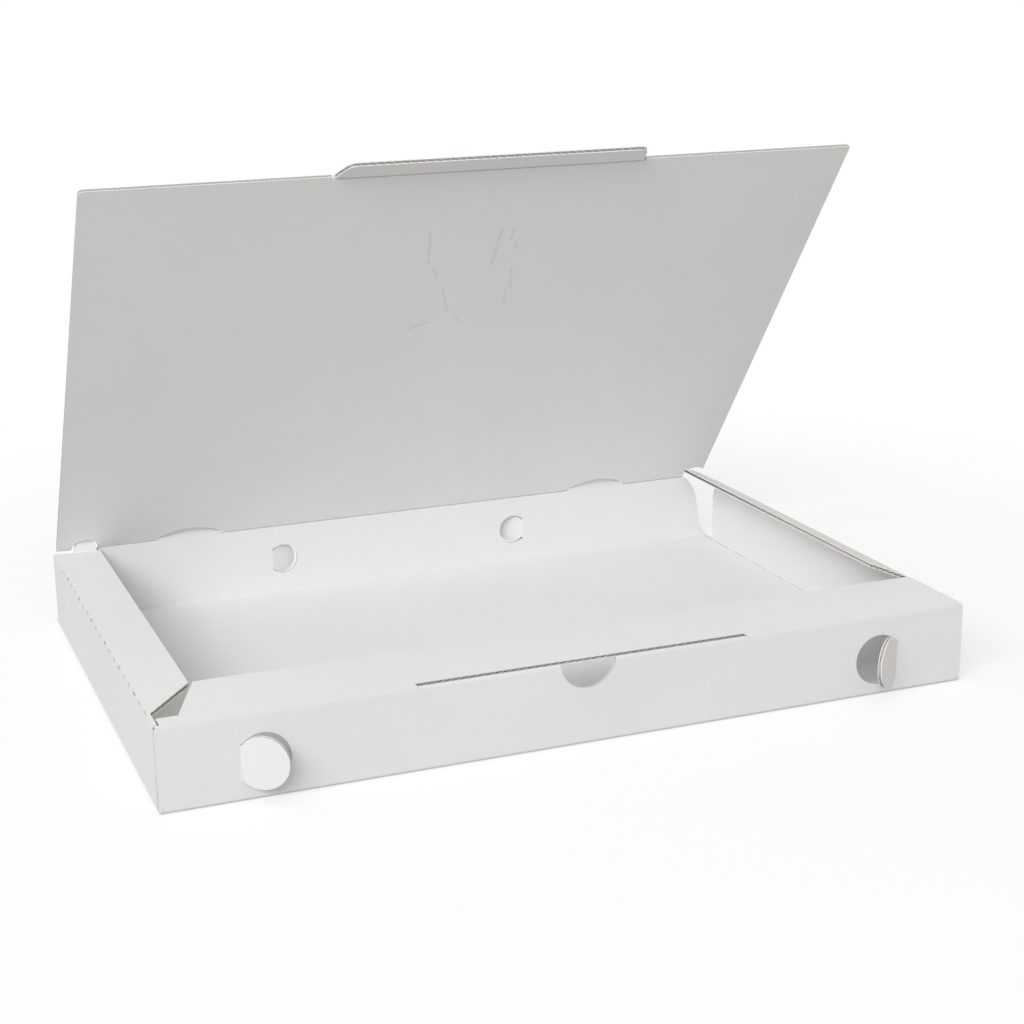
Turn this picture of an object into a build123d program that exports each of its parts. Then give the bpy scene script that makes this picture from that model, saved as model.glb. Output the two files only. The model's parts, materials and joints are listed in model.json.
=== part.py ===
"""Rectangular corrugated pizza box, folded from one die-cut sheet, standing with its lid part open.

The frame: X to the right, Y to the back, Z up, with the origin on the table under the middle of the floor.
Each panel that turns at a crease is a node of its own. A turning panel ends in a round bead on the crease
line, half a board in radius, and its neighbour stops one crease gap short of that bead.
"""
import math
import os

from build123d import *

# Overall sizes, in millimetres
box_width = 600.0
box_depth = 400.0
wall_height = 60.0
board = 3.0
crease_radius = 2.4
crease_share = 0.9

# Clearances
crease_gap = 0.3
corner_gap = 1.4
lid_clearance = 1.0
overrun = 5.0

# Rest angles, in degrees from the closed or flat position
lid_open_angle = 53.5
tuck_fold_angle = 28.0
right_ledge_lift = 24.0
front_left_vent_swing = 29.0
front_right_vent_swing = 38.0
rear_left_vent_swing = 18.0
rear_right_vent_swing = 26.0

# Ledges along the top of the walls
side_ledge_width = 38.0
left_rear_gap = 3.6
right_ledge_rear_gap = 22.0
left_mitre_start = 21.0
left_mitre_end = 69.0
front_ledge_width = 70.0
front_strip_depth = 15.0
front_mitre_start = 19.0
front_mitre_end = 41.0
ledge_end_gap = 2.0

# Tongue at the left ledge's rear and nose of the right one, which reach through the lid's notches
tongue_width = 18.0
tongue_rise = 8.0
tongue_centre = 26.0
nose_width = 13.0
nose_centre = 15.0
nose_rear_gap = 2.0
lid_notch_radius = 11.0

# Corners of the tray
corner_tab_length = 44.0
right_wall_rear_gap = 20.0
right_wall_corner_radius = 12.0
right_wall_corner_share = 0.4
rear_wall_taper = 24.0
rear_end_height_shares = (0.05, 0.2, 0.5, 0.78, 1.0)
rear_end_inset_shares = (0.04, 0.29, 0.42, 0.58, 1.0)

# Half-moon tabs of the rear wall and the holes that they leave in the lid
hinge_tab_chord = 54.0
hinge_tab_rise = 10.0
hinge_tab_offset = 186.0
hinge_tab_chord_gap = 2.2
hinge_tab_rise_gap = 1.2

# Lid, tuck flap and its slot
lid_left_inset = 3.0
lid_right_inset = 7.0
lid_front_gap = 4.0
lid_corner_radius = 3.0
slot_length = 246.0
slot_width = 5.0
slot_front_gap = 0.3
lip_gap = 0.3
tuck_width = 238.0
tuck_length = 22.0
tuck_taper = 6.5
tuck_corner_radius = 8.0
tuck_end_gap = 1.5

# Thumb notch and vents
thumb_notch_radius = 21.0
thumb_notch_rise = 1.5
front_vent_radius = 18.2
front_vent_end_gap = 70.0
front_vent_height = 27.0
rear_vent_radius = 12.0
rear_vent_offset = 106.0
rear_vent_height = 31.5
vent_gap = 0.6
vent_hinge_share = 0.8

# Perforation nicks along the left crease
nick_pitch = 17.6
nick_length = 8.0
nick_width = 1.1
nick_depth = 0.9
nick_tilt = 45.0

# Places worked out from the sizes above
half_width = box_width / 2
half_depth = box_depth / 2
half_board = board / 2
crease_round = min(crease_radius, crease_share * board)
bead_clear = half_board + crease_gap
hinge_y = half_depth - half_board
hinge_z = wall_height + lid_clearance + half_board
rear_wall_top = hinge_z - bead_clear
tuck_y = -half_depth + board + slot_front_gap + half_board
ledge_axis_x = half_width - half_board
ledge_axis_z = wall_height - half_board
right_wall_top = ledge_axis_z - bead_clear
front_vent_offset = half_width - front_vent_end_gap

# Crease lines that the moving panels turn about, written as axes through their panels
lid_axis = Axis((0, hinge_y, hinge_z), (-1, 0, 0))
tuck_axis = Axis((0, tuck_y, hinge_z), (1, 0, 0))
right_ledge_axis = Axis((ledge_axis_x, 0, ledge_axis_z), (0, 1, 0))


def flat_panel(points, base_z):
    """Board-thick panel that lies flat, with its underside at base_z."""
    face = make_face(Polyline(*points, close=True))
    return Pos(0, 0, base_z) * extrude(face, board)


def block(low, high):
    """Box between two opposite corners."""
    size = [b - a for a, b in zip(low, high)]
    middle = [(a + b) / 2 for a, b in zip(low, high)]
    return Pos(*middle) * Box(*size)


def bead(start, end):
    """Round bead on a crease line that runs from start to end."""
    direction = Vector(*end) - Vector(*start)
    return Solid.make_cylinder(half_board, direction.length, Plane(origin=start, z_dir=direction))


def moon(chord, rise, foot):
    """Circular segment on the local X axis, carried down by foot below its chord."""
    radius = (chord * chord / 4 + rise * rise) / (2 * rise)
    disc = Pos(0, rise - radius) * Circle(radius)
    above = Pos(0, rise / 2) * Rectangle(chord, rise)
    return (disc & above) + Pos(0, -foot / 2) * Rectangle(chord, foot)


def rear_plane():
    """Drawing plane on the rear face, looking at it from inside; extruding goes inwards."""
    return Plane(origin=(0, half_depth, 0), x_dir=(1, 0, 0), z_dir=(0, -1, 0))


def side_wall(side, top, rear_gap, corner_radius):
    """Side wall with its rear top corner rounded, and the corner tab folded behind the front wall."""
    front = -half_depth + board + corner_gap
    rear = half_depth - rear_gap
    outline = Polyline((front, 0), (rear, 0), (rear, top), (front, top), close=True)
    sketch = make_face(outline)
    if corner_radius:
        rear_top = sketch.vertices().sort_by(Axis.Y)[-2:].sort_by(Axis.X)[-1]
        sketch = fillet(rear_top, corner_radius)
    origin_x = -half_width if side < 0 else half_width - board
    wall = extrude(Plane(origin=(origin_x, 0, 0), x_dir=(0, 1, 0), z_dir=(1, 0, 0)) * sketch, board)
    outer = side * half_width
    inner = side * (half_width - corner_tab_length)
    tab_top = wall_height - board - corner_gap
    tab = block((min(outer, inner), front, 0), (max(outer, inner), front + board, tab_top))
    tab -= block((-half_width + board, front, 0), (half_width - board, front + board, board + corner_gap))
    return wall + tab


def left_ledge():
    """Left ledge, one with its wall: cut at a slant in front, with a tongue standing up at the rear."""
    rear = half_depth - left_rear_gap
    inner = -half_width + side_ledge_width
    points = [(-half_width, rear), (-half_width, -half_depth + left_mitre_start),
              (inner, -half_depth + left_mitre_end), (inner, rear)]
    foot = hinge_z - wall_height + half_board
    tongue = Pos(-half_width + tongue_centre, hinge_z) * moon(tongue_width, tongue_rise, foot)
    plane = Plane(origin=(0, rear, 0), x_dir=(1, 0, 0), z_dir=(0, -1, 0))
    return flat_panel(points, wall_height - board) + extrude(plane * tongue, board)


def front_ledge():
    """Front ledge: a strip and a slant at its left end, square at its right end over the right wall."""
    inner_y = -half_depth + front_ledge_width
    strip_end = -half_width + board + corner_gap
    strip_y = -half_depth + front_strip_depth
    points = [(strip_end, -half_depth), (half_width, -half_depth), (half_width, inner_y),
              (-half_width + front_mitre_end, inner_y), (-half_width + front_mitre_start, strip_y),
              (strip_end, strip_y)]
    return flat_panel(points, wall_height - board)


def rear_wall():
    """Rear wall: its ends curve in towards the top, and half-moon tabs stand up through the lid."""
    ends = [(half_width - rear_wall_taper * inset, rear_wall_top * height)
            for inset, height in zip(rear_end_inset_shares, rear_end_height_shares)]
    mirrored = [(-x, z) for x, z in reversed(ends)]
    foot_line = Polyline(mirrored[-1], (-half_width, 0), (half_width, 0), ends[0])
    top_line = Line(ends[-1], mirrored[0])
    sketch = make_face(foot_line + Spline(*ends) + top_line + Spline(*mirrored))
    foot = hinge_z - rear_wall_top
    for side in (-1, 1):
        sketch += Pos(side * hinge_tab_offset, hinge_z) * moon(hinge_tab_chord, hinge_tab_rise, foot)
    return extrude(rear_plane() * sketch, board)


def half_crease(radius):
    """Half the length of a vent disc's straight crease."""
    return radius * math.sqrt(1 - vent_hinge_share ** 2)


def vent_disc(radius, side):
    """Vent disc in its own plane, ending in a straight crease on the outer side."""
    crease = vent_hinge_share * radius
    keep = Pos(side * (crease - radius) / 2, 0) * Rectangle(crease + radius, 2 * radius)
    return Circle(radius) & keep


def vent_hole(radius, side):
    """Hole that a vent disc leaves: a gap all round and room for the bead."""
    crease = vent_hinge_share * radius
    wide = radius + vent_gap
    keep = Pos(side * (crease - wide) / 2, 0) * Rectangle(crease + wide, 2 * wide)
    swept = math.sqrt(radius ** 2 - (crease - half_board) ** 2) + vent_gap
    room = Pos(side * crease, 0) * Rectangle(2 * bead_clear, 2 * swept)
    return (Circle(wide) & keep) + room


def front_plane():
    """Drawing plane on the front face, seen from outside; extruding goes outwards."""
    return Plane(origin=(0, -half_depth + board, 0), x_dir=(1, 0, 0), z_dir=(0, -1, 0))


def vent_cutters():
    """Through cuts for the vents of both walls."""
    cuts = []
    for side in (-1, 1):
        hole = Pos(side * front_vent_offset, front_vent_height) * vent_hole(front_vent_radius, side)
        cuts.append(extrude(front_plane() * hole, board))
        hole = Pos(side * rear_vent_offset, rear_vent_height) * vent_hole(rear_vent_radius, side)
        cuts.append(extrude(rear_plane() * hole, board))
    return cuts


def tray():
    """Floor, four walls, left and front ledges: the part of the sheet that does not move."""
    body = block((-half_width, -half_depth, 0), (half_width, half_depth, board))
    body += block((-half_width, -half_depth, 0), (half_width, -half_depth + board, wall_height))
    body += rear_wall()
    body += side_wall(-1, wall_height, left_rear_gap, 0)
    right_corner = min(right_wall_corner_radius, right_wall_corner_share * right_wall_top)
    body += side_wall(1, right_wall_top, right_wall_rear_gap, right_corner)
    body += left_ledge()
    body += front_ledge()
    body = fillet(body.edges().filter_by_position(Axis.Z, 0, 0), crease_round)
    half_slot = slot_length / 2
    inside = -half_depth + board
    body -= block((-half_slot, inside, wall_height - board - overrun),
                  (half_slot, inside + slot_width, wall_height + overrun))
    body -= lip_cutter()
    notch_level = wall_height + thumb_notch_rise
    notch = Solid.make_cylinder(thumb_notch_radius, board + overrun,
                                Plane(origin=(0, -half_depth - overrun, notch_level), z_dir=(0, 1, 0)))
    body -= notch
    for cut in vent_cutters():
        body -= cut
    top_edges = body.edges().filter_by_position(Axis.Z, wall_height, wall_height)
    front_folds = top_edges.filter_by_position(Axis.Y, -half_depth, -half_depth)
    left_fold = top_edges.filter_by_position(Axis.X, -half_width, -half_width)
    body = fillet(front_folds + left_fold, crease_round)
    return body - nicks()


def lip_cutter():
    """Slanted cut over the front wall's top, just under the half-folded tuck flap of the shut lid."""
    half_slot = slot_length / 2
    under = hinge_z - half_board - lip_gap
    above = block((-half_slot, tuck_y - tuck_length, under), (half_slot, tuck_y, under + board + overrun))
    inside = -half_depth + board
    keep = block((-half_slot, -half_depth - overrun, 0), (half_slot, inside, hinge_z + overrun))
    return above.rotate(tuck_axis, tuck_fold_angle) & keep


def nicks():
    """Row of short cuts along the left crease, where the board is perforated to fold."""
    start = -half_depth + left_mitre_start + nick_pitch / 2
    end = half_depth - left_rear_gap - nick_pitch
    count = int((end - start) / nick_pitch)
    depth_in = (math.sqrt(2) - 1) * crease_round + nick_depth
    cutter = Box(2 * depth_in, nick_length, nick_width)
    row = []
    for index in range(count):
        place = Pos(-half_width, start + index * nick_pitch, wall_height)
        row.append(place * Rot(0, nick_tilt, 0) * cutter)
    return row


def lid_closed():
    """Lid as it lies when shut: bead along the hinge, corner notches, tab holes and the tuck recess."""
    left = -half_width + lid_left_inset
    right = half_width - lid_right_inset
    base = hinge_z - half_board
    sheet = block((left, -half_depth + lid_front_gap, base), (right, hinge_y, base + board))
    front_corners = sheet.edges().filter_by(Axis.Z).sort_by(Axis.Y)[:2]
    sheet = fillet(front_corners, lid_corner_radius)
    hinge_end = half_width - rear_wall_taper
    sheet += bead((-hinge_end, hinge_y, hinge_z), (hinge_end, hinge_y, hinge_z))
    above = base - overrun
    deep = board + 2 * overrun
    for end, centre in ((-1, tongue_centre), (1, nose_centre)):
        place = Pos(end * (half_width - centre), hinge_y, above)
        sheet -= place * extrude(Circle(lid_notch_radius), deep)
        hole = moon(hinge_tab_chord + 2 * hinge_tab_chord_gap, hinge_tab_rise + hinge_tab_rise_gap, overrun)
        place = Pos(end * hinge_tab_offset, hinge_y, above) * Rot(0, 0, 180)
        sheet -= place * extrude(hole, deep)
    half_tuck = tuck_width / 2 + tuck_end_gap
    recess_end = tuck_y + bead_clear
    sheet -= block((-half_tuck, -half_depth - overrun, above), (half_tuck, recess_end, above + deep))
    return sheet


def tuck_flat():
    """Tuck flap in line with the shut lid: tapered, with rounded corners."""
    half_tuck = tuck_width / 2
    tip_y = tuck_y - tuck_length
    points = [(-half_tuck, tuck_y), (half_tuck, tuck_y), (half_tuck - tuck_taper, tip_y),
              (-half_tuck + tuck_taper, tip_y)]
    face = make_face(Polyline(*points, close=True))
    face = fillet(face.vertices().sort_by(Axis.Y)[:2], tuck_corner_radius)
    sheet = Pos(0, 0, hinge_z - half_board) * extrude(face, board)
    return sheet + bead((-half_tuck, tuck_y, hinge_z), (half_tuck, tuck_y, hinge_z))


def right_ledge_flat():
    """Right ledge as it lies under the shut lid: square in front, a round nose at the rear, a bead."""
    front = -half_depth + front_ledge_width + ledge_end_gap
    rear = half_depth - right_ledge_rear_gap
    inner = half_width - side_ledge_width
    points = [(ledge_axis_x, front), (ledge_axis_x, rear), (inner, rear), (inner, front)]
    nose_side = nose_width / 2
    nose_x = half_width - nose_centre
    stem_low = rear - nose_side
    stem_high = half_depth - nose_rear_gap - nose_side
    stem = Pos(nose_x, (stem_low + stem_high) / 2) * Rectangle(nose_width, stem_high - stem_low)
    outline = make_face(Polyline(*points, close=True)) + stem + Pos(nose_x, stem_high) * Circle(nose_side)
    sheet = Pos(0, 0, wall_height - board) * extrude(outline, board)
    return sheet + bead((ledge_axis_x, front, ledge_axis_z), (ledge_axis_x, rear, ledge_axis_z))


def vent_flap(radius, offset, height, side, wall, swing):
    """Vent disc with the bead on its crease, swung outwards from the front (-1) or rear (+1) wall."""
    plane = front_plane() if wall < 0 else rear_plane()
    disc = extrude(plane * (Pos(side * offset, height) * vent_disc(radius, side)), board)
    crease_x = side * (offset + vent_hinge_share * radius)
    crease_y = wall * (half_depth - half_board)
    reach = half_crease(radius)
    disc += bead((crease_x, crease_y, height - reach), (crease_x, crease_y, height + reach))
    axis = Axis((crease_x, crease_y, height), (0, 0, 1))
    return disc.rotate(axis, -side * wall * swing)


def build():
    """All nodes at rest, by name."""
    lid = lid_closed().rotate(lid_axis, lid_open_angle)
    tuck = tuck_flat().rotate(tuck_axis, tuck_fold_angle).rotate(lid_axis, lid_open_angle)
    nodes = {
        "tray": tray(),
        "lid": lid,
        "tuck_flap": tuck,
        "right_ledge": right_ledge_flat().rotate(right_ledge_axis, right_ledge_lift),
    }
    swings = {"left": (-1, front_left_vent_swing, rear_left_vent_swing),
              "right": (1, front_right_vent_swing, rear_right_vent_swing)}
    for name, (side, front_swing, rear_swing) in swings.items():
        nodes[f"front_{name}_vent"] = vent_flap(front_vent_radius, front_vent_offset, front_vent_height,
                                                side, -1, front_swing)
        nodes[f"rear_{name}_vent"] = vent_flap(rear_vent_radius, rear_vent_offset, rear_vent_height,
                                               side, 1, rear_swing)
    return nodes


os.makedirs("parts", exist_ok=True)
for node_name, shape in build().items():
    export_step(shape, f"parts/{node_name}.step")
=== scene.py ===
"""Dresses the folding pizza box in white lined corrugated board and sets the studio.

Every panel becomes what it is on the real box: two paper liners with a fluted medium between them. The
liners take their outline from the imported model's own panels, with the cut edges left open, and the medium is
a sine wave laid between them, so that the flutes show wherever the board is cut across.
"""

import json
import math

import bpy
import numpy as np
from bpy.props import FloatProperty, FloatVectorProperty, PointerProperty
from bpy.types import Operator, Panel, PropertyGroup
from mathutils import Euler, Matrix, Vector


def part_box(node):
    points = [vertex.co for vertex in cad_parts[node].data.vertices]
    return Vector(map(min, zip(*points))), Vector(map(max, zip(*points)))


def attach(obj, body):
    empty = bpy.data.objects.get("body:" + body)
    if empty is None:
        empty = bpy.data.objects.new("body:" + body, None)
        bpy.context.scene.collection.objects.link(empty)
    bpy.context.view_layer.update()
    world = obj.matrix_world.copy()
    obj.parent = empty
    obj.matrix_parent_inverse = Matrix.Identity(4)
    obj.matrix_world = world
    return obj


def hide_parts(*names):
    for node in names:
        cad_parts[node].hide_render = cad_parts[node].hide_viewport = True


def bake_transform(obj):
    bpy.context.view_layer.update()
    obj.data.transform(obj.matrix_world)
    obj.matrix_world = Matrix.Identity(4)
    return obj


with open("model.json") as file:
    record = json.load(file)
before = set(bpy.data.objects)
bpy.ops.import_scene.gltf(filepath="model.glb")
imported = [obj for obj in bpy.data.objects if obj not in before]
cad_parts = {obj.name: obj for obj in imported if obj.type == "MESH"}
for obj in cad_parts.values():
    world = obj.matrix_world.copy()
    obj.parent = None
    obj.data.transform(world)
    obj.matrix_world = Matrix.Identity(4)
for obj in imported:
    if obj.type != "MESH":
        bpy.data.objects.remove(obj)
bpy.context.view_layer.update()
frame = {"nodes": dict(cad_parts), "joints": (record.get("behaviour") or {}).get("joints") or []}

bl_info = {
    "name": "Corrugated pizza box",
    "version": (1, 0, 0),
    "blender": (4, 5, 0),
    "location": "View3D > Sidebar > Pizza box",
    "description": "Builds the liners and flutes of a folding pizza box and sets the studio",
    "category": "Object",
}

# Sizes of the folded sheet, in metres
BOARD = 0.003
HALF_BOARD = BOARD / 2
HALF_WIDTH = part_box("tray")[1].x
HALF_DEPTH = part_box("tray")[1].y
WALL = 0.060
FLOOR_LEVEL = 0.003
LID_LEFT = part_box("lid")[0].x
LID_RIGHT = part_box("lid")[1].x
LID_FRONT = -HALF_DEPTH + 0.004
REAR_TOP = 0.0607
REAR_TAPER = 0.024
REAR_END_GAP = 0.0006
REAR_END_INSETS = (0.0, 0.04, 0.29, 0.42, 0.58, 1.0)
REAR_END_HEIGHTS = (0.0, 0.05, 0.2, 0.5, 0.78, 1.0)
LEFT_REAR = HALF_DEPTH - 0.0036
RIGHT_REAR = HALF_DEPTH - 0.020
RIGHT_ROUND = 0.012
RIGHT_TOP = 0.0567
LEDGE_WIDTH = 0.038
LEDGE_REAR = HALF_DEPTH - 0.022
LEFT_MITRE = (0.021, 0.069)
FRONT_LEDGE = 0.070
FRONT_STRIP = 0.015
FRONT_MITRE = (0.019, 0.041)
LEDGE_FRONT = -HALF_DEPTH + FRONT_LEDGE + 0.002
TONGUE_CENTRE = -HALF_WIDTH + 0.026
TONGUE = (0.018, 0.008)
NOSE_CENTRE = HALF_WIDTH - 0.015
NOSE_RADIUS = 0.0065
NOSE_END = HALF_DEPTH - 0.002
CORNER_NOTCH = 0.011
TAB_OFFSET = 0.186
TAB_MOON = (0.054, 0.010)
TAB_HOLE = (0.0584, 0.0112)
SLOT_HALF = 0.123
SLOT_REAR = -HALF_DEPTH + BOARD + 0.005
LIP = 0.0584
THUMB = 0.021
THUMB_LEVEL = WALL + 0.0015
TUCK_HALF = 0.119
TUCK_LENGTH = 0.022
TUCK_TAPER = 0.0065
TUCK_RECESS = 0.1205
CORNER_TAB = HALF_WIDTH - 0.044
CORNER_GAP = 0.0014
CORNER_TAB_Y = -HALF_DEPTH + BOARD + CORNER_GAP
CORNER_TAB_TOP = WALL - BOARD - CORNER_GAP
CREASE_ROUND = 0.0024
NICK_PITCH = 0.0176
VENT_SHARE = 0.8
VENT_GAP = 0.0006
CREASE_BEND = 0.0009
FRONT_VENT = {"offset": 0.230, "height": 0.027, "radius": 0.0182}
REAR_VENT = {"offset": 0.106, "height": 0.0315, "radius": 0.012}
VENTS = {
    "front_left_vent": (FRONT_VENT, -1, -1),
    "front_right_vent": (FRONT_VENT, 1, -1),
    "rear_left_vent": (REAR_VENT, -1, 1),
    "rear_right_vent": (REAR_VENT, 1, 1),
}
CREASES = {
    "lid": ("lid_hinge",),
    "tuck_flap": ("tuck_fold", "lid_hinge"),
    "right_ledge": ("right_ledge_fold",),
    "front_left_vent": ("front_left_vent_fold",),
    "front_right_vent": ("front_right_vent_fold",),
    "rear_left_vent": ("rear_left_vent_fold",),
    "rear_right_vent": ("rear_right_vent_fold",),
}
JOINTS = {joint["name"]: joint for joint in frame["joints"]}
HINGE_Y = JOINTS["lid_hinge"]["pos_m"][1]
HINGE_Z = JOINTS["lid_hinge"]["pos_m"][2]
BEAD_CLEAR = 0.0018
TUCK_Y = -HALF_DEPTH + BOARD + BEAD_CLEAR
FLUTE_STEPS = 12
HAIR = 0.0001
CAMERA_TURN = tuple(math.radians(angle) for angle in (74.762, 1.195, -20.126))

# Paper over and beside the vents' creases: reach from the crease, lift off the board, overlap with the wall,
# half length of the blend and room round the open disc
SKIN_REACH = 0.0036
SKIN_LIFT = 0.00003
SKIN_ROWS = 17
PATCH_LIFT = 0.00005
PATCH_STEPS = 12
ROOM_OVERLAP = 0.0008
DISC_CLEAR = 0.0002
DISC_SWING = 0.0019

# Studio floor: half its side, its level, its grey, its glow to the camera and where it turns plain white
STAGE_HALF = 9.0
STAGE_LEVEL = -0.0002
STAGE_GREY = 0.5
STAGE_GLOW = 0.52
STAGE_FADE = (0.45, 0.95)


class PizzaBoxBoard(PropertyGroup):
    """Sizes and colours of the corrugated board."""

    liner: FloatProperty(name="Liner", description="Thickness of one paper liner",
                         default=0.0006, unit="LENGTH", precision=5)
    medium: FloatProperty(name="Medium", description="Thickness of the fluted paper",
                          default=0.0004, unit="LENGTH", precision=5)
    pitch: FloatProperty(name="Flute pitch", description="Distance from one flute to the next",
                         default=0.006, unit="LENGTH", precision=5)
    recess: FloatProperty(name="Flute recess", description="How far the flutes stop short of a cut edge",
                          default=0.00015, unit="LENGTH", precision=5)
    white: FloatVectorProperty(name="White", description="Colour of the coated liners",
                               default=(0.87, 0.87, 0.86), subtype="COLOR", size=3, min=0, max=1)
    shade: FloatVectorProperty(name="Shade", description="Colour of the liners where stock shows through",
                               default=(0.80, 0.80, 0.79), subtype="COLOR", size=3, min=0, max=1)
    grey: FloatVectorProperty(name="Grey", description="Colour of the fluted paper",
                              default=(0.66, 0.62, 0.56), subtype="COLOR", size=3, min=0, max=1)
    # The scuff colour also serves as the painted shade along the tray's floor creases and top folds
    scuff: FloatVectorProperty(name="Scuff", description="Colour of the scuffs inside the lid",
                               default=(0.52, 0.515, 0.50), subtype="COLOR", size=3, min=0, max=1)


class PizzaBoxStudio(PropertyGroup):
    """Camera and light."""

    lens: FloatProperty(name="Lens", description="Focal length in millimetres", default=66.787)
    eye: FloatVectorProperty(name="Eye", description="Place of the camera", size=3, subtype="XYZ",
                             unit="LENGTH", default=(-0.5043, -1.3093, 0.5209))
    turn: FloatVectorProperty(name="Turn", description="Turn of the camera", size=3, subtype="EULER",
                              unit="ROTATION", default=CAMERA_TURN)
    shift: FloatVectorProperty(name="Shift", description="Shift of the frame, as a share of its width",
                               size=2, default=(0.0703, -0.0313))
    sky: FloatProperty(name="Sky", description="Strength of the light from all round", default=0.62)
    sky_tint: FloatVectorProperty(name="Sky tint", description="Colour of the light from all round",
                                  default=(1, 0.983, 0.94), subtype="COLOR", size=3, min=0, max=1)
    softbox: FloatProperty(name="Softbox", description="Power of the large lamp in front, in watts",
                           default=480.0)
    softbox_tint: FloatVectorProperty(name="Softbox tint", description="Colour of the large lamp",
                                      default=(0.935, 0.93, 1.0), subtype="COLOR", size=3, min=0, max=1)
    softbox_place: FloatVectorProperty(name="Softbox place", description="Place of the large lamp", size=3,
                                       subtype="XYZ", unit="LENGTH", default=(-5.2, -5.3, 5.0))
    softbox_size: FloatVectorProperty(name="Softbox size", description="Width and height of the large lamp",
                                      size=2, unit="LENGTH", default=(7.0, 2.8))


def turned(points, name, angle):
    """Points turned about a crease: Rodrigues' formula, p cos a + (k x p) sin a + k (k.p)(1 - cos a)."""
    joint = JOINTS[name]
    origin = np.array(joint["pos_m"])
    k = np.array(joint["axis"], float)
    p = points - origin
    along = (p @ k)[:, None] * k
    return origin + along + (p - along) * math.cos(angle) + np.cross(k, p) * math.sin(angle)


def shut(points, node):
    """Points of a turning panel taken from the rest pose to the shut or flat one."""
    for name in CREASES.get(node, ()):
        points = turned(points, name, math.radians(JOINTS[name]["range_deg"][0]))
    return points


def opened(points, node):
    """Points of a turning panel taken from the shut or flat pose to the rest one."""
    for name in reversed(CREASES.get(node, ())):
        points = turned(points, name, -math.radians(JOINTS[name]["range_deg"][0]))
    return points


def welded(node):
    """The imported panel's corners without doubles, and its triangles."""
    mesh = frame["nodes"][node].data
    mesh.calc_loop_triangles()
    corners = np.empty(len(mesh.vertices) * 3)
    mesh.vertices.foreach_get("co", corners)
    index = np.empty(len(mesh.loop_triangles) * 3, np.int32)
    mesh.loop_triangles.foreach_get("vertices", index)
    points, back = np.unique(np.round(corners.reshape(-1, 3), 7), axis=0, return_inverse=True)
    faces = back.reshape(-1)[index].reshape(-1, 3)
    whole = (faces[:, 0] != faces[:, 1]) & (faces[:, 1] != faces[:, 2]) & (faces[:, 2] != faces[:, 0])
    return points, faces[whole]


def face_normals(points, faces):
    """Unit normals: the cross product of two sides of each triangle, divided by its length."""
    a, b, c = (points[faces[:, i]] for i in range(3))
    cross = np.cross(b - a, c - a)
    return cross / np.maximum(np.linalg.norm(cross, axis=1, keepdims=True), 1e-18)


def in_slab(points, faces, normals, axis, low, high):
    """Triangles that lie wholly inside a panel's thickness and face along the panel: its cut edges."""
    level = points[faces][:, :, axis]
    slack = 0.00006
    inside = (level.min(1) > low - slack) & (level.max(1) < high + slack)
    return inside & (np.abs(normals[:, axis]) < 0.3)


def tray_cuts(points, faces, normals):
    """Cut edges of the tray: the edges of its walls, ledges and tabs, without the folded creases."""
    slabs = [
        (1, -HALF_DEPTH, -HALF_DEPTH + BOARD), (1, HALF_DEPTH - BOARD, HALF_DEPTH),
        (0, -HALF_WIDTH, -HALF_WIDTH + BOARD), (0, HALF_WIDTH - BOARD, HALF_WIDTH),
        (2, WALL - BOARD, WALL), (1, CORNER_TAB_Y, CORNER_TAB_Y + BOARD), (1, LEFT_REAR - BOARD, LEFT_REAR),
    ]
    cut = np.zeros(len(faces), bool)
    for axis, low, high in slabs:
        cut |= in_slab(points, faces, normals, axis, low, high)
    middle = points[faces].mean(1)
    high = points[faces][:, :, 2].max(1)
    fold_level = WALL - BOARD
    front_fold = (middle[:, 1] < -HALF_DEPTH + BOARD) & (middle[:, 2] > fold_level)
    front_fold &= np.abs(normals[:, 0]) < 0.7
    left_fold = (middle[:, 0] < -HALF_WIDTH + BOARD) & (middle[:, 2] > fold_level)
    left_fold &= (middle[:, 1] > -HALF_DEPTH + LEFT_MITRE[0] + 0.001) & (middle[:, 1] < LEFT_REAR - HAIR)
    upward = normals[:, 2] > 0.9
    crease = upward & (np.abs(middle[:, 2] - REAR_TOP) < HAIR)
    crease |= upward & (np.abs(middle[:, 2] - RIGHT_TOP) < HAIR) & (middle[:, 0] > HALF_WIDTH - BOARD)
    for vent, side, wall in VENTS.values():
        edge = side * (vent["offset"] + VENT_SHARE * vent["radius"] + BEAD_CLEAR)
        crease |= (np.abs(middle[:, 0] - edge) < HAIR) & (np.abs(normals[:, 0]) > 0.9)
    return cut & ~front_fold & ~left_fold & ~crease & (high > FLOOR_LEVEL + 0.0003)


def flap_cuts(node):
    """Rule for the cut edges of a turning panel in its flat pose, without the bead on its crease."""
    name = CREASES[node][0]
    origin = shut(np.array(JOINTS[name]["pos_m"])[None], node)[0]
    k = np.array(JOINTS[name]["axis"], float)
    thin = 1 if node in VENTS else 2
    level = origin[thin]

    def rule(points, faces, normals):
        away = points[faces].mean(1) - origin
        away -= (away @ k)[:, None] * k
        bead = (np.linalg.norm(away, axis=1) < HALF_BOARD * 1.08) & (np.abs(normals @ k) < 0.7)
        middle = points[faces].mean(1)
        recess = np.abs(middle[:, 1] - TUCK_Y - BEAD_CLEAR) < HAIR
        recess &= np.abs(middle[:, 0]) < TUCK_RECESS
        folded = bead | (recess & (node == "lid"))
        return in_slab(points, faces, normals, thin, level - HALF_BOARD, level + HALF_BOARD) & ~folded
    return rule


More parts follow.
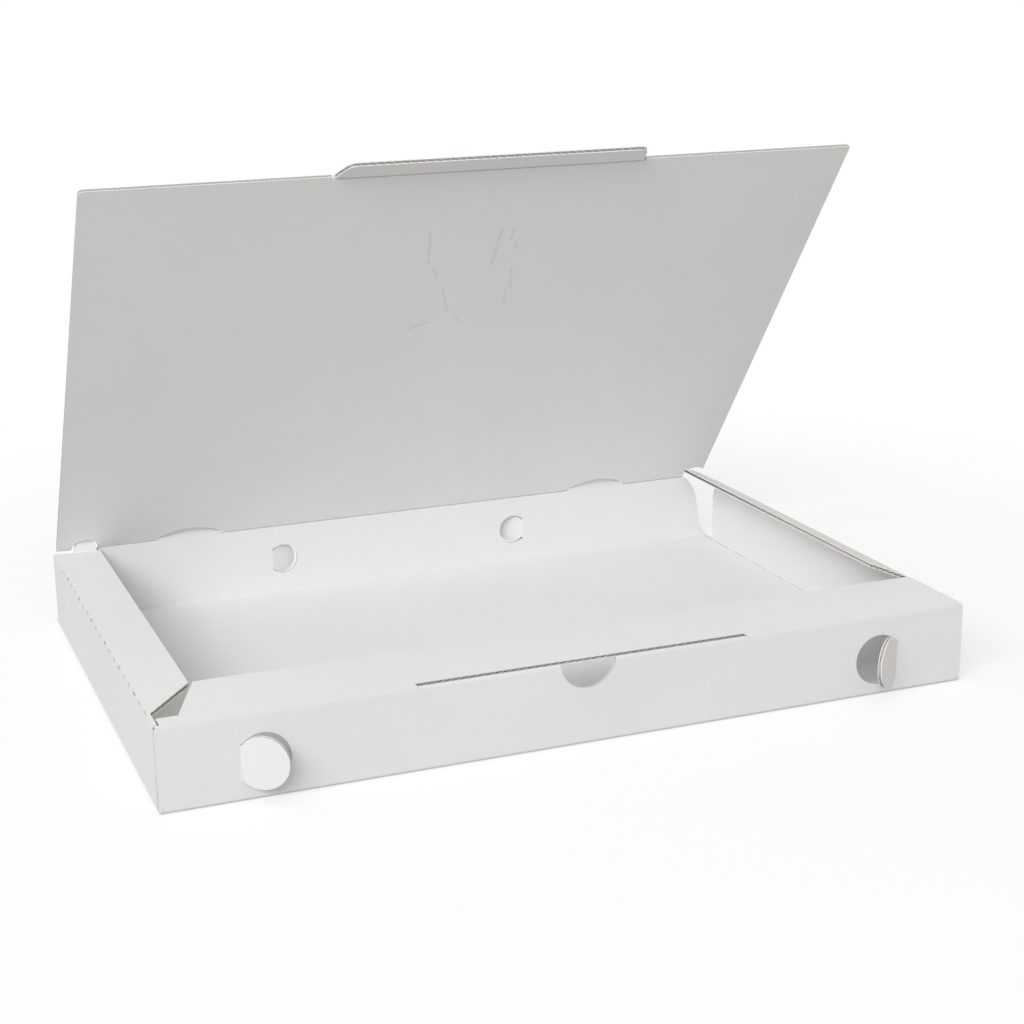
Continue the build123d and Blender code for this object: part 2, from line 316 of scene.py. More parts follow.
def board_map(points, faces, normals, node):
    """Board coordinates of each triangle's corners in metres: across the flutes, then along them."""
    x, y, z = (points[faces][:, :, i] for i in range(3))
    if node in VENTS:
        return np.stack((x, z), -1)
    flat = np.stack((x, y), -1)
    if node != "tray":
        return flat
    side = (np.abs(normals[:, 0]) > 0.7)[:, None, None]
    end = (np.abs(normals[:, 1]) > 0.7)[:, None, None]
    return np.where(side, np.stack((z, y), -1), np.where(end, np.stack((x, z), -1), flat))


def liner_shell(points, faces, normals, thickness):
    """Paper of even thickness behind each triangle: every corner moves inwards by the shift that lies
    nearest to minus the thickness along all normals that meet there, the least squares answer of
    n.d = -thickness. Open edges are closed by a rim."""
    total = np.zeros((len(points), 3, 3))
    right = np.zeros((len(points), 3))
    outer = normals[:, :, None] * normals[:, None, :]
    for corner in range(3):
        np.add.at(total, faces[:, corner], outer)
        np.add.at(right, faces[:, corner], normals)
    total += np.eye(3) * 2e-3
    inner = points - thickness * np.linalg.solve(total, right[:, :, None])[:, :, 0]
    edges = np.concatenate([faces[:, [i, (i + 1) % 3]] for i in range(3)])
    which = np.tile(np.arange(len(faces)), 3)
    corner = np.repeat(np.arange(3), len(faces))
    key = np.sort(edges, axis=1)
    _, first, count = np.unique(key, axis=0, return_index=True, return_counts=True)
    lone = first[count == 1]
    a, b = edges[lone].T
    rim = np.stack((b, a, a + len(points), b + len(points)), 1)
    return np.concatenate((points, inner)), rim, which[lone], corner[lone]


def new_mesh(name, points, faces, corners=None):
    """Mesh object from arrays, with the board map where one is given."""
    mesh = bpy.data.meshes.new(name)
    mesh.from_pydata(points.tolist(), [], faces)
    if corners is not None:
        layer = mesh.uv_layers.new(name="board")
        layer.data.foreach_set("uv", np.asarray(corners, np.float32).ravel())
    mesh.validate()
    mesh.shade_smooth()
    mesh.set_sharp_from_angle(angle=math.radians(32))
    piece = bpy.data.objects.new(name, mesh)
    bpy.context.scene.collection.objects.link(piece)
    return piece


def liner_piece(node, material, board):
    """Liners of one panel: its packed outline with the cut edges open and paper of even thickness."""
    points, faces = welded(node)
    flat = shut(points, node)
    flat_normals = face_normals(flat, faces)
    rule = tray_cuts if node == "tray" else flap_cuts(node)
    keep = ~rule(flat, faces, flat_normals)
    faces = faces[keep]
    corners = board_map(flat, faces, flat_normals[keep], node)
    used, back = np.unique(faces, return_inverse=True)
    points = points[used]
    faces = back.reshape(-1, 3)
    shell, rim, which, corner = liner_shell(points, faces, face_normals(points, faces), board.liner)
    inside = faces[:, ::-1] + len(points)
    start = corners[which, corner]
    stop = corners[which, (corner + 1) % 3]
    rim_corners = np.stack((stop, start, start, stop), 1)
    loops = np.concatenate([part.reshape(-1, 2) for part in (corners, corners[:, ::-1], rim_corners)])
    piece = new_mesh(node + "_liners", shell, faces.tolist() + inside.tolist() + rim.tolist(), loops)
    even = piece.modifiers.new("Even shading", "WEIGHTED_NORMAL")
    even.keep_sharp = True
    even.weight = 100
    piece.data.materials.append(material)
    if node == "tray":
        paint_tray_shade(piece)
    if node == "lid":
        plain_outside(piece)
    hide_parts(node)
    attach(piece, node)
    return piece


def plain_outside(piece):
    """Give the lid's outer face the plain liner: its normals point up when the lid is shut."""
    mesh = piece.data
    normal = np.empty(len(mesh.polygons) * 3)
    mesh.polygons.foreach_get("normal", normal)
    up = opened(np.array([[0, 0, 1], [0, 0, 0]]), "lid")
    outer = normal.reshape(-1, 3) @ (up[0] - up[1]) > 0.5
    mesh.materials.append(liner_of("tray"))
    mesh.polygons.foreach_set("material_index", outer.astype(np.int32))


def paint_tray_shade(piece):
    """Give the slanted lip of the slot a little painted shade, and the perforation nicks painted shade for the
    dark of their cuts. Every other nick or so is faint, by the sine of its number."""
    mesh = piece.data
    middle = np.empty(len(mesh.polygons) * 3)
    normal = np.empty(len(mesh.polygons) * 3)
    mesh.polygons.foreach_get("center", middle)
    mesh.polygons.foreach_get("normal", normal)
    x, y, z = middle.reshape(-1, 3).T
    normal = normal.reshape(-1, 3)
    # Painted shade on the slanted lip of the slot
    lip = (np.abs(x) < SLOT_HALF) & (y < -HALF_DEPTH + BOARD) & (z > LIP - 0.001)
    lip &= (normal[:, 2] > 0.6) & (normal[:, 1] < -0.3)
    # Painted shade for the dark inside the perforation nicks along the left fold
    beside, over = x + HALF_WIDTH - CREASE_ROUND, z - WALL + CREASE_ROUND
    nick = (beside < 0) & (over > 0) & (np.hypot(beside, over) < CREASE_ROUND - HAIR)
    nick &= (y > -HALF_DEPTH + LEFT_MITRE[0]) & (y < LEFT_REAR - 0.005)
    number = np.round((y + HALF_DEPTH - LEFT_MITRE[0]) / NICK_PITCH - 0.5)
    painted_shade = np.where(nick, np.where(np.sin(number * 2.1) > -0.2, 3, 2), np.where(lip, 1, 0))
    for name, tone in PAINTED_SHADE_TONES:
        mesh.materials.append(shaded_liner(name, tone))
    mesh.polygons.foreach_set("material_index", painted_shade.astype(np.int32))


def moon(x, centre, chord, rise):
    """Height of a circular segment above its chord: sqrt(r^2 - dx^2) - (r - rise), and zero outside it."""
    radius = (chord * chord / 4 + rise * rise) / (2 * rise)
    d = np.abs(x - centre)
    return np.where(d < chord / 2, np.sqrt(np.maximum(radius ** 2 - d * d, 0)) - radius + rise, 0)


def dome(x, centre, radius):
    """Height of a half circle over its diameter, and zero outside it."""
    return np.sqrt(np.maximum(radius ** 2 - (x - centre) ** 2, 0))


def columns(low, high, board):
    """Places across the flutes, a dozen for each flute."""
    count = max(int(round((high - low) / board.pitch * FLUTE_STEPS)), 8)
    return np.linspace(low, high, count + 1)


def flute_grid(across, low, high, board, place):
    """Fluted paper between two edges: along runs from low to high in each column, and the height above the
    middle of the board is a sine of the place across, a sin(2 pi across / pitch)."""
    low = low + np.zeros_like(across) + board.recess
    high = np.maximum(high + np.zeros_like(across) - board.recess, low + 1e-5)
    rise = HALF_BOARD - board.liner - board.medium / 2
    wave = rise * np.sin(2 * np.pi * across / board.pitch)
    rows = [place(across, along, wave) for along in (low, high)]
    points = np.stack(rows).reshape(-1, 3)
    n = len(across)
    i = np.arange(n - 1)
    return points, np.stack((i, i + 1, i + 1 + n, i + n), 1)


def level(z):
    """Placing rule for a panel that lies flat at height z."""
    return lambda across, along, wave: np.stack((across, along, z + wave), -1)


def upright(y):
    """Placing rule for a front or rear panel at depth y."""
    return lambda across, along, wave: np.stack((across, y + wave, along), -1)


def sideways(x):
    """Placing rule for a side wall at place x; its flutes run front to back."""
    return lambda across, along, wave: np.stack((x + wave, along, across), -1)


def folded_tab(y):
    """Placing rule for a corner tab at depth y; its flutes run across the box."""
    return lambda across, along, wave: np.stack((along, y + wave, across), -1)


def flute_piece(node, grids, material, board):
    """One fluted piece out of several grids, turned to the rest pose and given its paper's thickness."""
    points, faces, start = [], [], 0
    for grid_points, grid_faces in grids:
        points.append(opened(grid_points, node))
        faces.append(grid_faces + start)
        start += len(grid_points)
    piece = new_mesh(node + "_flutes", np.concatenate(points), np.concatenate(faces).tolist())
    paper = piece.modifiers.new("Paper", "SOLIDIFY")
    paper.thickness = board.medium
    paper.offset = 0
    piece.data.materials.append(material)
    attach(piece, node)
    return piece


def bead_room(vent):
    """Half length of the room for a vent's bead: the disc's half chord, sqrt(R^2 - (c - t)^2), half a board
    inside the crease, and the running gap."""
    inside = VENT_SHARE * vent["radius"] - HALF_BOARD
    return math.sqrt(vent["radius"] ** 2 - inside ** 2) + VENT_GAP


def pierced_wall(across, top, vent, board, place):
    """Fluted grids of a wall with two vents: whole columns beside each hole, short ones below and above."""
    grids = []
    radius = vent["radius"] + VENT_GAP
    crease = VENT_SHARE * vent["radius"]
    reach = bead_room(vent)
    edges = [across[0]]
    for side in (-1, 1):
        a, b = side * (vent["offset"] - radius), side * (vent["offset"] + crease + BEAD_CLEAR)
        edges += sorted((a, b))
    edges.append(across[-1])
    for index in range(5):
        x = columns(edges[index], edges[index + 1], board)
        if index % 2 == 0:
            grids.append(flute_grid(x, FLOOR_LEVEL, top(x), board, place))
            continue
        side = -1 if index == 1 else 1
        d = side * (x - side * vent["offset"])
        half = np.where(d > crease - BEAD_CLEAR, reach, dome(d, 0, radius))
        grids.append(flute_grid(x, FLOOR_LEVEL, vent["height"] - half, board, place))
        grids.append(flute_grid(x, vent["height"] + half, top(x), board, place))
    return grids


def tray_flutes(board):
    """Fluted grids of the tray: its four walls, the corner tabs, and the left and front ledges."""
    def front_top(x):
        lip = np.where(np.abs(x) < THUMB, np.minimum(THUMB_LEVEL - dome(x, 0, THUMB), LIP), LIP)
        return np.where(np.abs(x) < SLOT_HALF, lip - 0.001, WALL - BOARD)

    def rear_top(x):
        inset = (HALF_WIDTH - np.abs(x) - REAR_END_GAP) / REAR_TAPER
        slope = REAR_TOP * np.interp(inset, REAR_END_INSETS, REAR_END_HEIGHTS)
        moons = sum(moon(x, side * TAB_OFFSET, *TAB_MOON) for side in (-1, 1))
        on_tab = np.abs(np.abs(x) - TAB_OFFSET) < TAB_MOON[0] / 2
        return np.minimum(np.where(on_tab, HINGE_Z + moons, REAR_TOP), slope)

    inset = board.recess
    wide = np.array([-HALF_WIDTH + inset, HALF_WIDTH - inset])
    grids = pierced_wall(wide, front_top, FRONT_VENT, board, upright(-HALF_DEPTH + HALF_BOARD))
    grids += pierced_wall(wide, rear_top, REAR_VENT, board, upright(HALF_DEPTH - HALF_BOARD))
    sides = ((-1, WALL - BOARD, LEFT_REAR, 0), (1, RIGHT_TOP - inset, RIGHT_REAR, RIGHT_ROUND))
    for side, top, rear, corner in sides:
        z = columns(FLOOR_LEVEL, top, board)
        rounded = dome(np.maximum(z, top - corner), top - corner, corner) - corner
        x = side * (HALF_WIDTH - HALF_BOARD)
        grids.append(flute_grid(z, CORNER_TAB_Y + BOARD, rear + rounded, board, sideways(x)))
        z = columns(FLOOR_LEVEL + 0.001, CORNER_TAB_TOP - inset, board)
        ends = sorted((side * CORNER_TAB, side * (HALF_WIDTH - BOARD)))
        grids.append(flute_grid(z, ends[0], ends[1], board, folded_tab(CORNER_TAB_Y + HALF_BOARD)))
    x = columns(-HALF_WIDTH + BOARD, -HALF_WIDTH + LEDGE_WIDTH - inset, board)
    slant = (LEFT_MITRE[1] - LEFT_MITRE[0]) / LEDGE_WIDTH
    mitre = -HALF_DEPTH + LEFT_MITRE[0] + (x + HALF_WIDTH) * slant
    grids.append(flute_grid(x, mitre, LEFT_REAR, board, level(WALL - HALF_BOARD)))
    x = columns(TONGUE_CENTRE - TONGUE[0] / 2 + inset, TONGUE_CENTRE + TONGUE[0] / 2 - inset, board)
    tongue = HINGE_Z + moon(x, TONGUE_CENTRE, *TONGUE)
    grids.append(flute_grid(x, WALL, tongue, board, upright(LEFT_REAR - HALF_BOARD)))
    x = columns(-HALF_WIDTH + BOARD + CORNER_GAP + inset, HALF_WIDTH - inset, board)
    inner = -HALF_DEPTH + np.interp(x + HALF_WIDTH, FRONT_MITRE, (FRONT_STRIP, FRONT_LEDGE))
    outer = np.where(np.abs(x) < SLOT_HALF, SLOT_REAR, -HALF_DEPTH + BOARD)
    grids.append(flute_grid(x, outer, inner, board, level(WALL - HALF_BOARD)))
    return grids


def ledge_rear(x):
    """Rear edge of the right ledge: straight, with the round nose."""
    nose = NOSE_END - NOSE_RADIUS + dome(x, NOSE_CENTRE, NOSE_RADIUS)
    return np.where(np.abs(x - NOSE_CENTRE) < NOSE_RADIUS, nose, LEDGE_REAR)


def lid_flutes(board):
    """Fluted grid of the lid: from its free edge or recess to the hinge, round its holes and notches."""
    x = columns(LID_LEFT + board.recess, LID_RIGHT - board.recess, board)
    front = np.where(np.abs(x) < TUCK_RECESS, TUCK_Y + BEAD_CLEAR, LID_FRONT)
    holes = sum(moon(x, side * TAB_OFFSET, *TAB_HOLE) for side in (-1, 1))
    notches = sum(dome(x, centre, CORNER_NOTCH) for centre in (TONGUE_CENTRE, NOSE_CENTRE))
    return [flute_grid(x, front, HINGE_Y - np.maximum(holes, notches), board, level(HINGE_Z))]


def tuck_flutes(board):
    """Fluted grid of the tuck flap: the free edge and the slanted sides meet in a soft maximum."""
    x = columns(-TUCK_HALF + board.recess, TUCK_HALF - board.recess, board)
    tip = TUCK_Y - TUCK_LENGTH
    slant = TUCK_Y - (TUCK_HALF - np.abs(x)) / TUCK_TAPER * TUCK_LENGTH
    front = (tip + slant + np.sqrt((tip - slant) ** 2 + 0.004 ** 2)) / 2
    return [flute_grid(x, front, TUCK_Y - 0.001, board, level(HINGE_Z))]


def ledge_flutes(board):
    """Fluted grid of the right ledge, from its square front end to its nose."""
    x = columns(HALF_WIDTH - LEDGE_WIDTH + board.recess, HALF_WIDTH - BOARD, board)
    return [flute_grid(x, LEDGE_FRONT, ledge_rear(x), board, level(WALL - HALF_BOARD))]


def vent_flutes(node, board):
    """Fluted grid of a vent disc: a circle cut off at its crease."""
    vent, side, wall = VENTS[node]
    ends = sorted((side * -vent["radius"], side * VENT_SHARE * vent["radius"]))
    x = columns(ends[0] + board.recess, ends[1] - board.recess, board)
    half = dome(x, 0, vent["radius"])
    low, high = vent["height"] - half, vent["height"] + half
    place = upright(wall * (HALF_DEPTH - HALF_BOARD))
    return [flute_grid(x + side * vent["offset"], low, high, board, place)]


def crease_path(angle, face, reach):
    """Section of the paper over a crease, as places and distances from the crease. The first axis runs to
    the shut disc and the second outwards. The outer paper turns in a quadratic curve,
    (1 - t)^2 a + 2 t (1 - t) b + t^2 c, and the inner one in an arc round the bead."""
    r = HALF_BOARD + SKIN_LIFT
    d = np.array([math.cos(angle), math.sin(angle)])
    run = np.linspace(CREASE_BEND, reach, 6)[:, None]
    t = np.linspace(0, 1, 7)[:, None]
    if face > 0:
        corner = np.array([-r * math.tan(angle / 2), r])
        a, c = corner - [CREASE_BEND, 0], corner + CREASE_BEND * d
        bend = (1 - t) ** 2 * a + 2 * t * (1 - t) * corner + t * t * c
        before, after = corner - run[:0:-1] * [1, 0], corner + run[1:] * d
    else:
        bend = r * np.hstack((np.sin(t * angle), -np.cos(t * angle)))
        before, after = bend[0] - run[::-1] * [1, 0], bend[-1] + run * d
    turn = CREASE_BEND * np.linspace(-1, 1, 7)
    away = np.concatenate((-run[::-1, 0][:len(before)], turn, run[-len(after):, 0]))
    return np.concatenate((before, bend, after)), away


def crease_skin(node, face, material):
    """Paper that runs unbroken from a wall over the crease on to its vent disc, on the outer (1) or inner
    (-1) face. On the disc it follows the circle, sqrt(R^2 - (c - s)^2), on the wall it covers the bead's
    room, and in the bend its width runs evenly from one to the other."""
    vent, side, wall = VENTS[node]
    joint = JOINTS[CREASES[node][0]]
    angle = -math.radians(joint["range_deg"][0])
    path, away = crease_path(angle, face, SKIN_REACH)
    radius = vent["radius"]
    crease = VENT_SHARE * radius
    round_edge = np.sqrt(radius ** 2 - (crease - np.maximum(away, 0)) ** 2) - HAIR
    disc_edge = math.sqrt(radius ** 2 - (crease - CREASE_BEND) ** 2) - HAIR
    wall_edge = bead_room(vent) + ROOM_OVERLAP
    webbed = np.interp(away, (-CREASE_BEND, CREASE_BEND), (wall_edge, disc_edge))
    half = np.where(away < CREASE_BEND, webbed, round_edge)
    across = np.linspace(-1, 1, SKIN_ROWS)
    axis = np.array(joint["pos_m"])
    z = vent["height"] + half[:, None] * across
    x = axis[0] - side * path[:, :1] + 0 * z
    y = axis[1] + wall * path[:, 1:] + 0 * z
    points = np.stack((x, y, z), -1).reshape(-1, 3)
    i = (np.arange(len(path) - 1)[:, None] * SKIN_ROWS + np.arange(SKIN_ROWS - 1)).ravel()
    faces = np.stack((i, i + SKIN_ROWS, i + SKIN_ROWS + 1, i + 1), 1)
    if side != wall * face:
        faces = faces[:, ::-1]
    name = node + ("_outer_crease" if face > 0 else "_inner_crease")
    piece = new_mesh(name, points, faces.tolist(), points[faces].reshape(-1, 3)[:, [0, 2]])
    piece.data.materials.append(material)
    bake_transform(piece)
    return piece


def vent_corners(material):
    """Paper of the walls beside the vents' creases: it closes the bead's room down to the hole's own circle,
    sqrt((R + gap)^2 - (c - u)^2) at the place u from the crease, or to the disc that stands open there."""
    points, faces = [], []
    u = np.linspace(-SKIN_REACH, BEAD_CLEAR, PATCH_STEPS + 1)
    row = np.arange(PATCH_STEPS)
    for vent, side, wall in VENTS.values():
        crease = VENT_SHARE * vent["radius"]
        room = bead_room(vent) + ROOM_OVERLAP
        open_disc = bead_room(vent) - VENT_GAP + DISC_CLEAR
        ring = np.sqrt((vent["radius"] + VENT_GAP) ** 2 - (crease - np.maximum(u, -0.001)) ** 2)
        ring = np.where(np.abs(u) < DISC_SWING, np.maximum(ring, open_disc), ring)
        x = side * (vent["offset"] + crease - u)
        for face in (1, -1):
            y = np.full_like(u, wall * (HALF_DEPTH - HALF_BOARD + face * (HALF_BOARD + PATCH_LIFT)))
            for end in (1, -1):
                heights = (np.minimum(ring, room), np.full_like(u, room))
                rows = [np.stack((x, y, vent["height"] + end * z), -1) for z in heights]
                quads = np.stack((row, row + 1, row + len(u) + 1, row + len(u)), 1)
                quads += 2 * len(u) * len(points)
                points.append(np.concatenate(rows))
                faces.append(quads if side * end == wall * face else quads[:, ::-1])
    points, faces = np.concatenate(points), np.concatenate(faces)
    piece = new_mesh("vent_corners", points, faces.tolist(), points[faces].reshape(-1, 3)[:, [0, 2]])
    piece.data.materials.append(material)
    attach(piece, "tray")
    return piece


class Nodes:
    """Short way to wire a node tree."""

    def __init__(self, tree):
        self.tree = tree
        self.count = 0

    def add(self, kind, **values):
        """New node with the given properties, laid out in a row."""
        node = self.tree.nodes.new(kind)
        node.location = (self.count * 180, 0)
        self.count += 1
        for key, value in values.items():
            setattr(node, key, value)
        return node

    def link(self, start, end):
        """Join an output to an input."""
        self.tree.links.new(start, end)

    def math(self, operation, a, b=None, c=None, clamp=False):
        """Math node on up to three values, each a number or an output."""
        node = self.add("ShaderNodeMath", operation=operation, use_clamp=clamp)
        for socket, value in zip(node.inputs, (a, b, c)):
            if value is None:
                continue
            if isinstance(value, (int, float)):
                socket.default_value = value
            else:
                self.link(value, socket)
        return node.outputs[0]

    def ramp(self, value, low, high, start=0.0, end=1.0):
        """Smooth step of a value from low to high."""
        node = self.add("ShaderNodeMapRange", interpolation_type="SMOOTHSTEP")
        self.link(value, node.inputs["Value"])
        for name, number in (("From Min", low), ("From Max", high), ("To Min", start), ("To Max", end)):
            node.inputs[name].default_value = number
        return node.outputs["Result"]

    def mix(self, factor, a, b):
        """Colour between a and b."""
        node = self.add("ShaderNodeMix", data_type="RGBA")
        sockets = [s for s in node.inputs if s.enabled]
        for socket, value in zip(sockets, (factor, a, b)):
            if isinstance(value, bpy.types.NodeSocket):
                self.link(value, socket)
            else:
                socket.default_value = value if isinstance(value, (int, float)) else (*value, 1)
        return [s for s in node.outputs if s.enabled][0]

    def noise(self, vector, scale, detail=2.0, rough=0.5):
        """Noise value on a vector."""
        node = self.add("ShaderNodeTexNoise")
        self.link(vector, node.inputs["Vector"])
        for name, number in (("Scale", scale), ("Detail", detail), ("Roughness", rough)):
            node.inputs[name].default_value = number
        return node.outputs["Fac"]

    def bump(self, height, strength, distance, shader):
        """Bump from a height to a shader's normal."""
        node = self.add("ShaderNodeBump")
        node.inputs["Strength"].default_value = strength
        node.inputs["Distance"].default_value = distance
        self.link(height, node.inputs["Height"])
        self.link(node.outputs["Normal"], shader.inputs["Normal"])


def new_group(name, inputs, outputs):
    """Empty shader group with named sockets; returns its wiring helper, input node and output node."""
    tree = bpy.data.node_groups.new(name, "ShaderNodeTree")
    for label, kind, value in inputs:
        socket = tree.interface.new_socket(label, in_out="INPUT", socket_type=kind)
        if value is not None:
            socket.default_value = value
    for label, kind in outputs:
        tree.interface.new_socket(label, in_out="OUTPUT", socket_type=kind)
    nodes = Nodes(tree)
    return nodes, nodes.add("NodeGroupInput"), nodes.add("NodeGroupOutput")


def paper_group():
    """Paper: cloudy patches, specks and fibres, as masks and a height."""
    n, inside, out = new_group("Paper", [("Vector", "NodeSocketVector", None)],
                               [("Cloud", "NodeSocketFloat"), ("Speck", "NodeSocketFloat"),
                                ("Height", "NodeSocketFloat")])
    place = inside.outputs["Vector"]
    cloud = n.noise(place, 9.0, 3.0, 0.55)
    fine = n.noise(place, 140.0, 4.0, 0.6)
    patches = n.math("ADD", n.math("MULTIPLY", cloud, 0.75), n.math("MULTIPLY", fine, 0.25))
    n.link(n.ramp(patches, 0.3, 0.72), out.inputs["Cloud"])
    speck = n.noise(place, 620.0, 1.0, 0.4)
    n.link(n.ramp(speck, 0.70, 0.78), out.inputs["Speck"])
    stretch = n.add("ShaderNodeMapping")
    n.link(place, stretch.inputs["Vector"])
    stretch.inputs["Scale"].default_value = (1.0, 0.35, 1.0)
    fibre = n.noise(stretch.outputs["Vector"], 900.0, 3.0, 0.6)
    height = n.math("ADD", n.math("MULTIPLY", fibre, 0.6), n.math("MULTIPLY", fine, 0.4))
    n.link(height, out.inputs["Height"])
    return n.tree


def ghost_group():
    """Flutes that show through a liner: a cosine across the board whose depth drifts along it."""
    n, inside, out = new_group("Flute ghost", [("Board", "NodeSocketVector", None),
                                               ("Pitch", "NodeSocketFloat", 0.006)],
                               [("Ridge", "NodeSocketFloat"), ("Depth", "NodeSocketFloat")])
    split = n.add("ShaderNodeSeparateXYZ")
    n.link(inside.outputs["Board"], split.inputs[0])
    turns = n.math("DIVIDE", split.outputs["X"], inside.outputs["Pitch"])
    wave = n.math("COSINE", n.math("MULTIPLY", turns, 4 * math.pi))
    n.link(n.math("MULTIPLY_ADD", wave, 0.5, 0.5), out.inputs["Ridge"])
    drift = n.noise(inside.outputs["Board"], 14.0, 2.0)
    n.link(n.ramp(drift, 0.35, 0.65, 0.3, 1.0), out.inputs["Depth"])
    return n.tree


def stroke_group():
    """Short worn stroke: distance from a straight line between two points of the board, broken by noise."""
    sockets = [(label, "NodeSocketVector", None) for label in ("Board", "Start", "End")]
    sockets.append(("Width", "NodeSocketFloat", 0.002))
    n, inside, out = new_group("Worn stroke", sockets, [("Mask", "NodeSocketFloat")])

    def vector(operation, a, b):
        node = n.add("ShaderNodeVectorMath", operation=operation)
        n.link(a, node.inputs[0])
        n.link(b, node.inputs[1])
        return node
    run = vector("SUBTRACT", inside.outputs["End"], inside.outputs["Start"]).outputs["Vector"]
    away = vector("SUBTRACT", inside.outputs["Board"], inside.outputs["Start"]).outputs["Vector"]
    share = n.math("DIVIDE", vector("DOT_PRODUCT", away, run).outputs["Value"],
                   vector("DOT_PRODUCT", run, run).outputs["Value"], clamp=True)
    scaled = n.add("ShaderNodeVectorMath", operation="SCALE")
    n.link(run, scaled.inputs[0])
    n.link(share, scaled.inputs["Scale"])
    gap = vector("DISTANCE", away, scaled.outputs["Vector"]).outputs["Value"]
    rough = n.noise(inside.outputs["Board"], 330.0, 3.0, 0.65)
    near = n.math("DIVIDE", gap, inside.outputs["Width"])
    worn = n.math("ADD", near, n.math("MULTIPLY", n.math("SUBTRACT", 0.5, rough), 4.5))
    n.link(n.ramp(worn, 1.0, 0.2), out.inputs["Mask"])
    return n.tree


def crease_shade_group():
    """Painted shade along the creases of the tray: the distance from a line in the plane across it, sqrt(a^2 +
    b^2). The painted shade where a side wall meets the floor is broken up by noise, and the top folds get a
    little painted shade against their highlight."""
    n, inside, out = new_group("Pressed crease", [("Vector", "NodeSocketVector", None)],
                               [("Line", "NodeSocketFloat"), ("Fold", "NodeSocketFloat")])
    split = n.add("ShaderNodeSeparateXYZ")
    n.link(inside.outputs["Vector"], split.inputs[0])

    def distance(a, b):
        return n.math("SQRT", n.math("ADD", n.math("MULTIPLY", a, a), n.math("MULTIPLY", b, b)))
    # Painted shade in the crease where the side walls meet the floor, broken up by noise
    beside = n.math("SUBTRACT", n.math("ABSOLUTE", split.outputs["X"]), HALF_WIDTH - BOARD)
    line = n.ramp(distance(beside, n.math("SUBTRACT", split.outputs["Z"], FLOOR_LEVEL)), 0.0011, 0.0004)
    broken = n.ramp(n.noise(inside.outputs["Vector"], 46.0, 2.0), 0.36, 0.62, 0.35, 1.0)
    n.link(n.math("MULTIPLY", line, broken), out.inputs["Line"])
    # Painted shade on the front and left top folds, against their highlight
    over = n.math("SUBTRACT", split.outputs["Z"], WALL)
    front = n.ramp(distance(n.math("ADD", split.outputs["Y"], HALF_DEPTH), over), 0.0025, 0.0011)
    left = n.ramp(distance(n.math("ADD", split.outputs["X"], HALF_WIDTH), over), 0.0025, 0.0011)
    n.link(n.math("MAXIMUM", front, left), out.inputs["Fold"])
    return n.tree


GROUPS = {}


def group(name, make):
    """The named effect, built once."""
    if name not in GROUPS:
        GROUPS[name] = make()
    return GROUPS[name]


def new_material(name):
    """Material with its Principled shader and wiring helper."""
    material = bpy.data.materials.new(name)
    material.use_nodes = True
    nodes = Nodes(material.node_tree)
    return material, nodes, material.node_tree.nodes["Principled BSDF"]


# Tones of the tray's painted shade beside the plain liner: on the slot's lip, in the nicks and in the faint
# nicks
PAINTED_SHADE_TONES = (("Crushed liner", 0.93), ("Nicked liner", 0.72), ("Faint nick", 0.88))

# Worn strokes inside the lid, as (start, end, width) on the board: across, then along from back to front
SCUFFS = (
    ((-0.037, -0.137), (-0.032, -0.103), 0.0011),
    ((0.020, -0.136), (0.020, -0.097), 0.0013),
    ((0.030, -0.132), (0.030, -0.124), 0.0012),
    ((0.035, -0.119), (0.037, -0.113), 0.0012),
    ((0.038, -0.090), (0.041, -0.073), 0.0011),
    ((0.038, -0.066), (0.040, -0.053), 0.0010),
    ((-0.026, -0.097), (-0.022, -0.086), 0.0010),
    ((-0.015, -0.076), (-0.007, -0.052), 0.0010),
    ((-0.034, -0.034), (-0.020, -0.040), 0.0012),
    ((0.002, -0.044), (0.006, -0.038), 0.0011),
)


